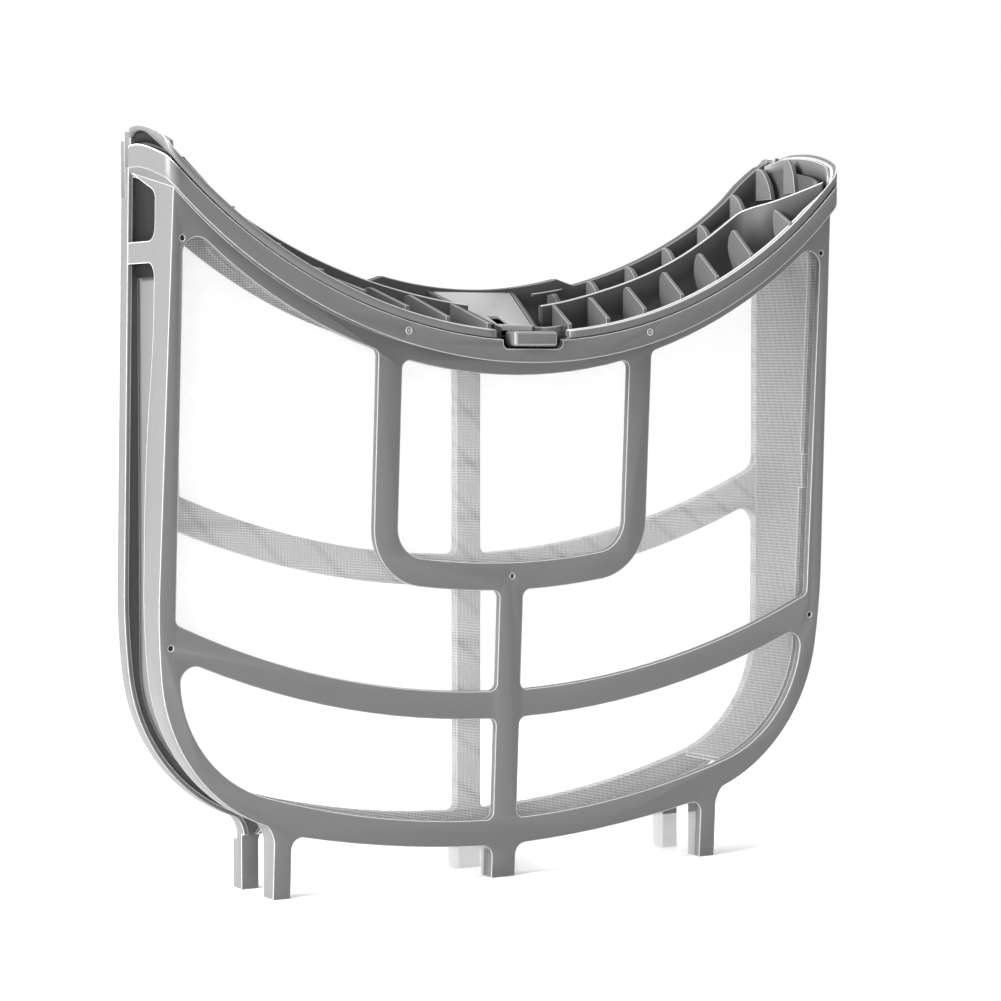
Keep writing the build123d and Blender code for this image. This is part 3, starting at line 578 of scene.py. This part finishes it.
# %% [markdown]
# ## Rim pins
# Two moulding pins show on the rim, each a low ring round a dot. They are turned like lathe work,
# from a profile of radii, because a torus and a dot would not join the rim.


# %% Rim pins
def turned(bm, centre, profile, count=24):
    """A round boss that faces forwards; the profile is its radii and how far they stand out."""
    x, y, z = centre
    angles = [2 * math.pi * k / count for k in range(count)]
    rings = [[bm.verts.new(place(x + r * math.cos(t), y - out, z + r * math.sin(t))) for t in angles]
             for r, out in profile]
    for a, b in zip(rings, rings[1:]):
        for k in range(count):
            n = (k + 1) % count
            bm.faces.new((a[k], a[n], b[n], b[k])).smooth = True
    bm.faces.new(rings[-1])


PIN_X, PIN_Y, PIN_Z, PIN_ROOT = 61.0, -54.75, 240.6, -0.6
PIN = [(1.7, PIN_ROOT), (1.7, 0.1), (1.55, 0.22), (1.2, 0.22), (1.1, 0.1), (1.1, PIN_ROOT),
       (0.6, PIN_ROOT), (0.6, 0.05), (0.45, 0.15)]
bm = bmesh.new()
turned(bm, (-PIN_X, PIN_Y, PIN_Z), PIN)
turned(bm, (PIN_X, PIN_Y, PIN_Z), PIN)
# The pins are wholly in the fins' lighter edge material, a painted highlight.
new_piece("rim_pins", bm, (fin_highlight, fin_highlight))

# %% [markdown]
# ## Tongue inside the rim
# The ring is located by a tongue that drops inside the rim. Only its shade is seen, as the black
# line between ring and rim, so it is a plain band painted nearly black, a painted shadow.

# %% Tongue
tongue = [(o, i, seam_z(*o) - 5.0, seam_z(*o) + 0.6) for o, i in zip(outline(2.6), outline(3.9))]
wall_piece("ring_tongue_shadow", [tongue[first:]], (shadow, shadow))

# %% [markdown]
# ## Back wall
# The back wall carries a cap that laps over the rear half, and behind the lock it rises to a
# crest. Cap, wall and crest are one band whose top adds the crest's height.

# %% Back wall with its cap and crest
CREST_X, CREST_END = 45.0, 54.0      # where the crest is full, and where it ends
BACK_IN, CAP_BACK = -2.4, 3.0        # depths of the wall's inner face, and of the cap's back
CAP_END = 158.0                      # half width of the cap


def crest(x):
    """Rise of the crest behind the lock over the back wall's top."""
    if abs(x) <= CREST_X:
        return 3.7 + (x / CREST_X) ** 2
    return max(0.0, 4.7 * (CREST_END - abs(x)) / (CREST_END - CREST_X))


turns = {-163.6, 163.6, -CREST_END, -49, -CREST_X, -42, 42, CREST_X, 49, CREST_END}
xs = sorted(turns | {-162 + 2.25 * k for k in range(145)})
bm = bmesh.new()
cap = [((x, CAP_BACK if abs(x) < CAP_END else 0.1), (x, BACK_IN), 243.75 + sag(x),
        top_z(x, 0.0) + crest(x)) for x in xs]
band(bm, cap, edge=0.5)
skirt = [((x, BACK_Y), (x, BACK_IN), 230.0 + sag(x), 244.2 + sag(x)) for x in xs if abs(x) < CAP_END]
band(bm, skirt)
new_piece("ring_back", bm, (ring_shade_grey, ring_highlight))

# %% [markdown]
# ## Divider
# A thin wall parts the front row of cells from the rear row. It runs to the front corner in an
# S-curve near each end. The curve is smoothed through a few points, and the wall is deep in the
# middle and shallow at the ends, where the leaning front panel comes near.

# %% Divider
DIVIDER_PLAN = [(18.5, -30.5), (30.2, -28.8), (50.1, -25.6), (68.5, -24.3), (93.1, -22.9),
                (113.0, -20.8), (126.0, -19.2), (133.0, -19.4), (138.0, -23.6), (144.5, -31.6),
                (153.0, -39.6), (161.7, -47.1)]
DIVIDER, DIVIDER_DEEP = 2.0, 26.0    # its thickness, and its depth in the middle
line = smooth_path(DIVIDER_PLAN, 6)
divider = []
for k, (x, y) in enumerate(line):
    (x0, y0), (x1, y1) = line[max(k - 1, 0)], line[min(k + 1, len(line) - 1)]
    run = math.hypot(x1 - x0, y1 - y0)
    nx, ny = -(y1 - y0) / run * DIVIDER / 2, (x1 - x0) / run * DIVIDER / 2
    deep = min(DIVIDER_DEEP, 5.0 + 0.95 * (y + 51.0))
    divider.append(((x - nx, y - ny), (x + nx, y + ny), top_z(x, y) - deep, top_z(x, y)))
wall_piece("ring_divider", [divider], (ring_shade_grey, frame_highlight), edge=0.6)

# %% [markdown]
# ## Fins
# A fin stands in each cell, so that air passes and small laundry doesn't. The front fins stand on
# the front wall and lean back like a shark's fin; the rear fins stand on the back wall. The left
# fins are lower, because none of them shows over the ring's outline. Each is a smoothed outline
# with a thickness, which gives its curved edge without a sculpt.

# %% Fins
FRONT_FINS = (20.5, 40.5, 60.2, 80.5, 100.1, 119.4)
REAR_FINS = (41.0, 62.0, 83.0, 103.5, 123.4, 142.0, 157.0)
SHORT_FIN, END_FIN = 141.0, 160.4    # the last front fin, and the fin in the end cell
FIN, REAR_FIN, END_FIN_THICK = 2.0, 2.4, 2.2


def front_fin(bm, x, hand):
    """A fin on the front wall that leans back over its cell."""
    base = FRONT_TOP + sag(x)
    front = next(y for px, y in inner if px >= x) - 0.6
    tip = top_z(x + 5.2, -29.4) - 0.3 - (max(0.0, 0.12 * (x - 45.0)) if hand < 0 else 0.0)
    back = [(-29.4, tip), (-26.6, tip - 0.8), (-23.8, tip - 4.0), (-23.4, tip - 9.0),
            (-28.0, tip - 16.0), (-31.0, tip - 21.0)]
    plate(bm, hand * x, smooth_path(back) + [(front, base - 9.0), (front, base - 0.2)], FIN, slant=0.248)


def rear_fin(bm, x, hand):
    """A fin on the back wall."""
    base = top_z(x, -1.0) - 0.2 - (7.5 * x / (ARC_R - sag(x)) if hand < 0 else 0.0)
    front = [(-2.3, base - 0.6), (-3.6, base), (-6.6, base - 1.2), (-10.0, base - 4.4),
             (-13.0, base - 9.4), (-14.6, base - 15.0)]
    plate(bm, hand * x, smooth_path(front) + [(-2.3, base - 15.0)], REAR_FIN)


def short_fin(bm, hand):
    """The last front fin, where the divider comes near the front wall."""
    base = FRONT_TOP + sag(SHORT_FIN)
    tip = base + (6.4 if hand > 0 else -2.0)
    back = [(-36.0, tip), (-34.6, tip - 1.2), (-34.4, tip - 6.0), (-36.0, tip - 12.0)]
    plate(bm, hand * SHORT_FIN, smooth_path(back) + [(-50.6, base - 9.0), (-50.6, base - 0.2)], FIN,
          slant=0.15)


def end_fin(bm, hand):
    """The fin in the end cell."""
    tip = 322.0 if hand > 0 else 315.0
    edge = [(-19.6, tip - 3.0), (-21.4, tip), (-24.4, tip - 2.0), (-27.0, tip - 7.5), (-28.4, tip - 16.0)]
    plate(bm, hand * END_FIN, smooth_path(edge) + [(-19.6, tip - 16.0)], END_FIN_THICK)


bm = bmesh.new()
for hand in (-1, 1):
    for x in FRONT_FINS:
        front_fin(bm, x, hand)
    for x in REAR_FINS:
        rear_fin(bm, x, hand)
    short_fin(bm, hand)
    end_fin(bm, hand)
round_edges(new_piece("ring_fins", bm, (fin_shade_grey, fin_highlight)), FRAME_ROUND)

# %% [markdown]
# ## End walls
# Behind each finger window an end wall closes the cells, and below it a flat inner wall runs down
# to the frame's side window. Outside each lies a nearly black sheet, a painted shade for its recess,
# because a recess that shallow would look lit. The inner side walls are painted darker too, for the
# shade they lie in. The end walls are insets of the outer wall's outline, so they keep its curve.

# %% End walls and painted recess shade
SIDE_LOW = 262.0                     # lower end of the inner side wall
END_DROP = 2.4                       # how far the end walls stay below the ring's top
ends = [k for k, (x, y) in enumerate(outer) if x > 152]


def end_wall(outside, inside, below_seam):
    """A wall round the end, between two insets of the outline."""
    far, near = outline(outside), outline(inside)
    return [(far[k], near[k], seam_z(*outer[k]) - below_seam, top_z(*outer[k]) - END_DROP) for k in ends]


side_wall = [((162.9, y), (161.6, y), SIDE_LOW, top_z(167.5, y) - 7.5)
             for y in (-43.0, -38.0, -33.0, -28.0, -22.0, -16.0, -10.0, -4.0)]
side_shade_wall = [((163.4, y), (162.5, y), SIDE_LOW + 0.4, 311.0) for y in (-40.6, -30.0, -18.0, -4.4)]
end_shade_wall = end_wall(outside=2.6, inside=3.8, below_seam=1.0)
wall_piece("ring_end_walls", [end_wall(outside=3.5, inside=4.6, below_seam=3.0)], (fin_shade_grey, fin_highlight))
wall_piece("ring_side_walls", [side_wall], (ring_shade_grey, ring_shade_grey))
# Near black sheets outside the end walls and side walls: painted shade for the recesses.
wall_piece("ring_recess_shade", [end_shade_wall, side_shade_wall], (recess_shade, recess_shade))

# %% [markdown]
# ## Posts at the ends
# The rear frame's outer edge runs up beside the ring, and a corner post fills the ring's back
# corner. Both are short straight bands with rounded tops, one on each half, so that they part
# when the filter is folded open.

# %% Rear posts and ring corners
post = [((165.9, y), (163.6, y), 296.0, 320.0) for y in (0.3, 4.6)]
corner = [((166.3, y), (163.8, y), 309.0, 323.6) for y in (-6.5, -0.3)]
wall_piece("rear_posts", [post], (grey, frame_highlight), "rear_half")
wall_piece("ring_corners", [corner], (grey, frame_highlight))

# %% [markdown]
# ## Latch housing
# The lock plate slopes down to the tab between two walls that flare out to the notch. The walls
# take their place and height from the plate's edges, and a floor and a small ledge bar close the
# view between them.

# %% Latch housing and its floor
HOUSING_LOW = 233.2
LEDGE_X, LEDGE_STEP = 27.0, 3.2      # where the ledge bar starts, and the spacing of its stations


def lock_x(y):
    """Half width of the lock plate at a depth."""
    return 8.2 + 12.8 * (y + 42.0) / 42.0


def lock_z(y):
    """Height of the lock plate at a depth."""
    return 241.0 + 0.406 * (y + 46.0)


side = [((lock_x(y) + 2.2, y), (lock_x(y) + 0.3, y), HOUSING_LOW, lock_z(y) + 0.2)
        for y in (-1, -11, -21, -31, -42)]
flare = [((10.5, -42.0), (8.5, -42.4), HOUSING_LOW, 242.8),
         ((12.6, -45.5), (10.9, -46.8), HOUSING_LOW, 242.6),
         ((15.4, -47.6), (14.4, -50.0), HOUSING_LOW, 243.0),
         ((18.0, -49.4), (17.4, -52.0), 237.8, 243.6)]
wall_piece("latch_housing", [side, flare], (ring_shade_grey, ring_highlight))
bm = bmesh.new()
band(bm, [((x, -1.2), (x, -42.0), 233.0, 234.6) for x in (-19, -9, 0, 9, 19)])
ledge = [LEDGE_X + LEDGE_STEP * k for k in range(6)]
band(bm, [((x, -9.0), (x, -10.6), 254.9 + sag(x), 256.5 + sag(x)) for x in ledge])
new_piece("housing_floor", bm, (ring_shade_grey, fin_highlight))

# %% [markdown]
# ## Screens and strips
# Each screen is one taut sheet, moulded into its frame all round, and each strip is a thin film.
# A cloth simulation has nothing to do on a taut sheet, so each is cut from the front face of its
# CAD solid, which keeps its outline exact, and its flat area is measured.


# %% Cut the sheets
def sheet_from(node, name, normal, material, push=0.0):
    """The faces of a CAD sheet that look along normal, as one open sheet, and their area."""
    normal = Vector(normal).normalized()
    bm = bmesh.new()
    bm.from_mesh(nodes[node].data)
    bmesh.ops.remove_doubles(bm, verts=bm.verts, dist=1e-6)
    bm.normal_update()
    away = [f for f in bm.faces if f.normal.dot(normal) < 0.9]
    bmesh.ops.delete(bm, geom=away, context="FACES")
    for v in bm.verts:
        v.co += normal * push
    mesh = bpy.data.meshes.new(name)
    bm.to_mesh(mesh)
    bm.free()
    mesh.materials.append(material)
    o = bpy.data.objects.new(name, mesh)
    scene.collection.objects.link(o)
    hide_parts(node)
    area = sum(p.area for p in mesh.polygons)
    print(name, round(area * 1e4, 1), "cm2")
    return o, area


LEAN = math.radians(3.29)            # how far the front panel leans
SINK = -0.0002                       # the threads lie a little inside the solid's face
leaning = (0, -math.cos(LEAN), -math.sin(LEAN))
print("the front screen looks along", [round(v, 4) for v in leaning])

# %% Screens
front_cloth, area = sheet_from("front_screen", "front_screen_cloth", leaning, screen_white, SINK)
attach(front_cloth, "front_half")
rear_cloth, area = sheet_from("rear_screen", "rear_screen_cloth", (0, -1, 0), screen_rear, SINK)
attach(rear_cloth, "rear_half")

# %% Strips
strips = (("front_strip", "front_half", "front_frame"), ("rear_strip", "rear_half", "rear_frame"))
for name, body, holder in strips:
    strip, area = sheet_from(name, name + "_film", (0, -1, 0), film)
    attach(strip, body)

# %% [markdown]
# ## Floor
# The photograph has no horizon: the floor runs into white. A curved backdrop could do this, but it
# would stand in the way of other views, so a flat floor takes soft shadows near the filter and
# fades to plain white light away from it.

# %% Floor
FADE_START, FADE_END = 0.35, 1.1     # metres from the filter's middle
bpy.ops.mesh.primitive_plane_add(size=60, location=(0, 0, 0))
floor = bpy.context.object
floor.name = "floor"
material, tree, coords = new_material("floor_paint")
cloud = add(tree, "ShaderNodeTexNoise", {"Vector": coords, "Scale": 3.0, "Detail": 3.0})
shade = add(tree, "ShaderNodeMix", {"Factor": cloud.outputs["Fac"]}, data_type="RGBA")
shade.inputs[6].default_value = (0.93, 0.93, 0.93, 1)
shade.inputs[7].default_value = (0.96, 0.96, 0.96, 1)
paint = add(tree, "ShaderNodeBsdfPrincipled", {"Base Color": shade.outputs[2], "Roughness": 0.9})
glow = add(tree, "ShaderNodeEmission", {"Color": (1, 1, 1, 1), "Strength": 1.0})
far = add(tree, "ShaderNodeVectorMath", {0: coords}, operation="LENGTH")
fade = add(tree, "ShaderNodeMapRange",
           {"Value": far.outputs["Value"], "From Min": FADE_START, "From Max": FADE_END},
           interpolation_type="SMOOTHSTEP")
surface(tree, mix_shaders(tree, fade.outputs[0], paint, glow))
floor.data.materials.append(material)
print("floor fades to white between", FADE_START, "and", FADE_END, "m")

# %% [markdown]
# ## Light
# An even white sky fills every cell a little, and a big soft box at the left lights the faces that
# look left, which are the bright ones. A weak one above lifts the top edges.

# %% Sky and soft boxes
world = bpy.data.worlds.new("studio")
world.use_nodes = True
scene.world = world
sky = world.node_tree.nodes["Background"]
sky.inputs[0].default_value = (1, 1, 1, 1)
sky.inputs[1].default_value = 1.0


def area_light(name, stand, target, size, power):
    """A rectangular soft box that looks from its stand at a target."""
    light = bpy.data.lights.new(name, "AREA")
    light.shape = "RECTANGLE"
    light.size, light.size_y = size
    light.energy = power
    o = bpy.data.objects.new(name, light)
    scene.collection.objects.link(o)
    o.location = stand
    o.rotation_euler = (Vector(target) - Vector(stand)).to_track_quat("-Z", "Y").to_euler()


area_light("left_softbox", stand=(-2.4, -0.25, 0.75), target=(0, 0, 0.16), size=(1.4, 1.8), power=235)
area_light("top_softbox", stand=(0.2, 0.3, 2.6), target=(0, 0, 0), size=(2.4, 2.4), power=25)
print("lights:", len(bpy.data.lights))

# %% [markdown]
# ## Camera
# The camera stands at the front left and looks slightly down. Its place and lens were fitted to
# the frames' parallel edges and to pairs of holes that are the same on both sides.

# %% Camera
AZIMUTH, DOWN = -31.0, 2.6
cam = bpy.data.cameras.new("camera")
cam.lens = 107.6
cam.sensor_width = 36.0
cam_ob = bpy.data.objects.new("camera", cam)
scene.collection.objects.link(cam_ob)
cam_ob.location = (-0.67741, -1.13023, 0.22623)
cam_ob.rotation_euler = Euler((math.radians(90 - DOWN), 0, math.radians(AZIMUTH)))
scene.camera = cam_ob
scene.view_settings.view_transform = "Standard"
print("camera at", [round(v, 3) for v in cam_ob.location])
